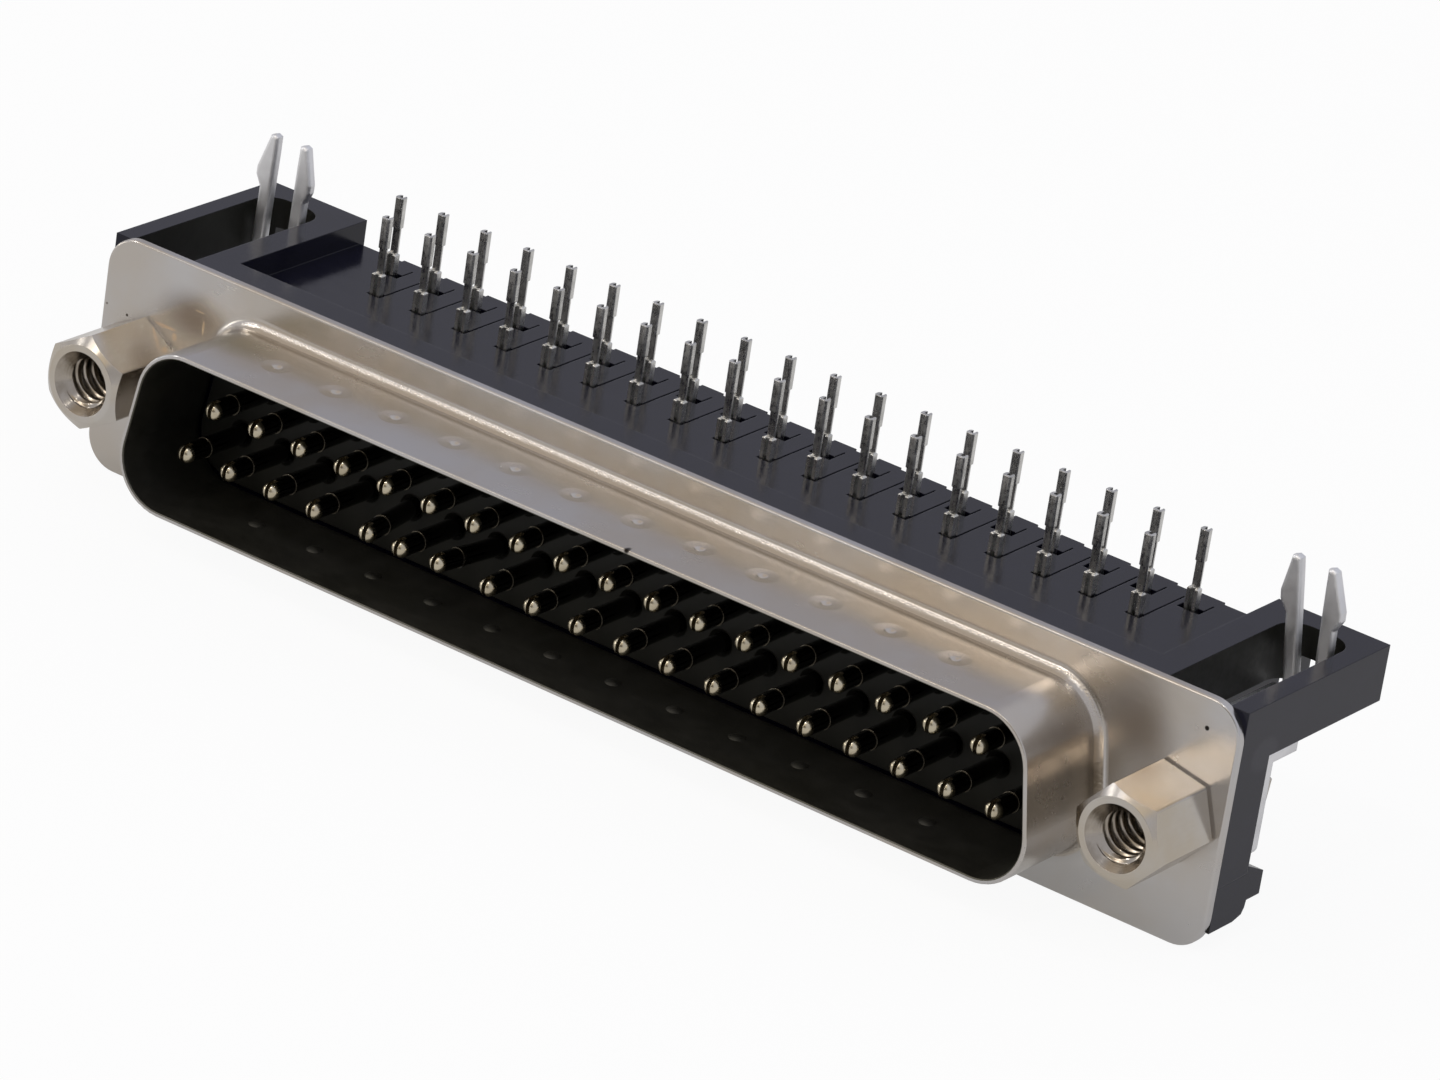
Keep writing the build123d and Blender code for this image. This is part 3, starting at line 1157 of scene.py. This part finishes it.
def choose(node: bpy.types.Object, number: np.ndarray) -> None:
    """Sets which of a node's materials each polygon shows.

    Args:
        node: The CAD node or new piece.
        number: Number of the material, one for each polygon.
    """
    node.data.polygons.foreach_set("material_index", number.astype(np.int32))
    node.data.update()


@dataclass(frozen=True)
class Patch:
    """A soft round patch of the room.

    Attributes:
        towards: Its direction from the connector.
        radius: Its angular radius in degrees.
        softness: Width of its soft edge in degrees.
        colour: Its colour.
    """

    towards: tuple[float, float, float]
    radius: float
    softness: float
    colour: str


@dataclass(frozen=True)
class Lamp:
    """A soft area lamp that faces the connector. Lengths are in millimetres.

    Attributes:
        name: Its name.
        place: Its place.
        size: Its width and height.
        power: Its power in watts.
        colour: Its colour.
    """

    name: str
    place: tuple[float, float, float]
    size: tuple[float, float]
    power: float
    colour: str = "#ffffff"


@dataclass
class Studio:
    """Floor, lamps, surroundings and camera. Lengths are in millimetres.

    Attributes:
        floor_height: Height of the floor.
        eye: Place of the camera.
        forward: Direction in which the camera looks.
        up: The camera's upward direction.
        focal: Focal length in pixels of the photo.
        photo_width: Width of the photo in pixels.
        sensor: Width of the sensor.
        floor_half: Half the length of the floor's sides.
        horizon: Colour of the room at the horizon.
        overhead: Colour of the room overhead.
        rise: Heights of a direction between which the one turns into the other.
        patches: Lighter and darker parts of the room.
        lamps: The lamps.
    """

    floor_height: float
    eye: tuple[float, float, float] = (190.801, -286.664, 151.314)
    forward: tuple[float, float, float] = (-0.50012, 0.76991, -0.39638)
    up: tuple[float, float, float] = (-0.34146, 0.24532, 0.90732)
    focal: float = 7704.0
    photo_width: float = 1440.0
    sensor: float = 36.0
    floor_half: float = 4000.0
    horizon: str = "#cbccd3"
    overhead: str = "#d0d2dc"
    rise: tuple[float, float] = (0.1, 0.85)
    patches: tuple[Patch, ...] = (
        Patch((-0.303, -0.77, 0.564), 7.0, 10.0, "#fdf2e2"),
        Patch((0.118, -0.77, 0.63), 7.0, 11.0, "#e6dbcb"),
        Patch((-0.5, -0.77, 0.4), 4.0, 7.0, "#cfc5b4"),
        Patch((-0.5, 0.77, 0.4), 10.0, 12.0, "#b3b3bc"),
        Patch((0.1, -0.97, 0.08), 16.0, 12.0, "#6e675d"),
        Patch((-0.5, -0.86, 0.12), 6.0, 12.0, "#ccc4b9"),
        Patch((-0.5, -0.1, 0.86), 14.0, 20.0, "#d3c9be"),
    )
    lamps: tuple[Lamp, ...] = (
        Lamp("soft_panel", (-215, -322, 312), (150, 80), 0.046, "#fbfafc"),
        Lamp("warm_panel", (-151, -385, 282), (90, 120), 0.155, "#fff6ee"),
        Lamp("left_panel", (-560, -240, 35), (260, 80), 0.21, "#fffdf6"),
        Lamp("bright_lamp", (-520, -250, 390), (32, 32), 0.4),
        Lamp("second_lamp", (48, -385, 580), (32, 32), 0.25),
    )

    def camera(self) -> None:
        """Makes the camera."""
        data = bpy.data.cameras.new("camera")
        data.sensor_width = self.sensor
        data.lens = self.focal * self.sensor / self.photo_width
        data.clip_start, data.clip_end = 0.01, 20
        made = bpy.data.objects.new("camera", data)
        back = -Vector(self.forward).normalized()
        right = Vector(self.up).cross(back).normalized()
        up = back.cross(right)
        turn = Matrix((right, up, back)).transposed().to_4x4()
        made.matrix_world = Matrix.Translation(Vector(self.eye) * MM) @ turn
        bpy.context.scene.collection.objects.link(made)
        bpy.context.scene.camera = made

    def floor(self, shop: MaterialShop) -> None:
        """Makes the plain floor.

        Args:
            shop: Where its material comes from.
        """
        half, z = self.floor_half * MM, self.floor_height * MM
        corner_points = [(-half, -half, z), (half, -half, z), (half, half, z), (-half, half, z)]
        mesh = bpy.data.meshes.new("floor")
        mesh.from_pydata(corner_points, [], [(0, 1, 2, 3)])
        made = bpy.data.objects.new("floor", mesh)
        made.data.materials.append(shop.floor())
        bpy.context.scene.collection.objects.link(made)
        made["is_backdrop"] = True

    @staticmethod
    def light(lamp: Lamp) -> None:
        """Makes one lamp.

        Args:
            lamp: The lamp's values.
        """
        data = bpy.data.lights.new(lamp.name, "AREA")
        data.shape = "RECTANGLE"
        data.size, data.size_y = (length * MM for length in lamp.size)
        data.energy = lamp.power
        data.color = linear(lamp.colour)[:3]
        made = bpy.data.objects.new(lamp.name, data)
        made.location = Vector(lamp.place) * MM
        made.rotation_mode = "QUATERNION"
        made.rotation_quaternion = Vector(lamp.place).to_track_quat("Z", "Y")
        bpy.context.scene.collection.objects.link(made)

    def surroundings(self) -> None:
        """Makes the plain pale room: duller at the horizon, lighter overhead."""
        world = bpy.data.worlds.new("room")
        bpy.context.scene.world = world
        world.use_nodes = True
        graph = Graph(world.node_tree)
        place = graph.node("TexCoord").outputs["Generated"]
        height = graph.node("SeparateXYZ", {0: place}).outputs["Z"]
        colour = graph.blend(graph.ramp(height, *self.rise), linear(self.horizon), linear(self.overhead))
        for patch in self.patches:
            towards = tuple(Vector(patch.towards).normalized())
            turned = graph.node("VectorMath", {0: place, 1: towards}, operation="DOT_PRODUCT")
            close = turned.outputs["Value"]
            outer = math.cos(math.radians(patch.radius + patch.softness))
            inner = math.cos(math.radians(patch.radius))
            colour = graph.blend(graph.ramp(close, outer, inner), colour, linear(patch.colour))
        room = graph.node("Background", {"Color": colour, "Strength": 1.0})
        graph.node("OutputWorld", {"Surface": room.outputs[0]})

    def build(self, shop: MaterialShop) -> None:
        """Makes everything around the connector.

        Args:
            shop: Where the floor's material comes from.
        """
        self.camera()
        self.floor(shop)
        self.surroundings()
        for lamp in self.lamps:
            self.light(lamp)
        bpy.context.scene.view_settings.view_transform = "Standard"


def main() -> None:
    """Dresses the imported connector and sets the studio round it."""
    logging.basicConfig(level=logging.INFO)
    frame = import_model()
    cad_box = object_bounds()
    shop = MaterialShop()
    for part in (Shell(), Mouldings(), Contacts(), Fasteners()):
        part.dress(frame, shop)
    Studio(floor_height=cad_box[0].z / MM).build(shop)
    log.info("dressed %d nodes", len(frame["nodes"]))


if __name__ == "__main__":
    main()
